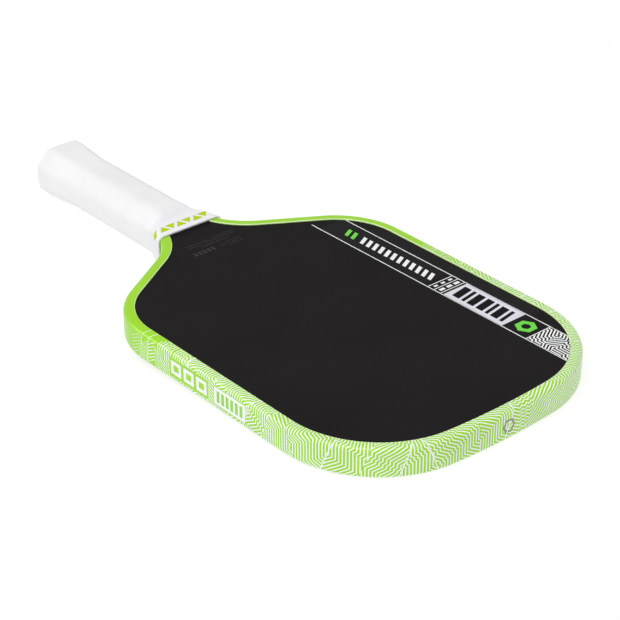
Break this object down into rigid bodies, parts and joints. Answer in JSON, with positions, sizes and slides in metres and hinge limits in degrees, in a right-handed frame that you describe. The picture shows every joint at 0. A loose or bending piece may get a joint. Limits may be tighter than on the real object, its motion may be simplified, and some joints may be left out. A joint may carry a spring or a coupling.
{
  "type": "pickleball paddle",
  "caption": "Flat racket-sport paddle: rounded rectangular sandwich face in a lime edge guard, narrowing through a rubber collar to a straight cushioned octagonal handle with a flared butt.",
  "frame": {"origin": "centre of the butt cap's end face", "axes": "+Y along the handle towards the tip of the head, +Z the normal of the front face, +X across the head"},
  "size_m": [0.1956, 0.414, 0.0344],
  "materials": {
    "carbon_face": "raw woven carbon, fine grit, matt",
    "inner_laminate": "cured carbon laminate",
    "adhesive": "cured film adhesive",
    "polymer_core": "extruded polypropylene",
    "edge_foam": "moulded foam",
    "guard": "smooth thermoplastic, printed",
    "handle_shell": "moulded rigid foam",
    "cap_plastic": "moulded nylon",
    "badge": "blank domed disc",
    "staple_steel": "galvanised wire",
    "grip": "synthetic cushion grip, fine emboss",
    "finishing_tape": "vinyl tape",
    "collar_rubber": "soft matt rubber"
  },
  "bodies": {
    "root": {"front_face_skin": "carbon_face", "back_face_skin": "carbon_face", "front_inner_ply": "inner_laminate", "back_inner_ply": "inner_laminate", "front_adhesive_film": "adhesive", "back_adhesive_film": "adhesive", "honeycomb_core": "polymer_core", "foam_edge_wall": "edge_foam", "rim_carbon_wrap": "inner_laminate", "guard_adhesive_tape": "adhesive", "edge_guard": "guard", "handle_core": "edge_foam", "handle_shell_front": "handle_shell", "handle_shell_back": "handle_shell", "butt_cap": "cap_plastic", "butt_badge": "badge", "butt_staples": "staple_steel", "grip_start_staple": "staple_steel", "grip_wrap": "grip", "grip_end_tape": "finishing_tape", "collar": "collar_rubber"}
  },
  "joints": []
}
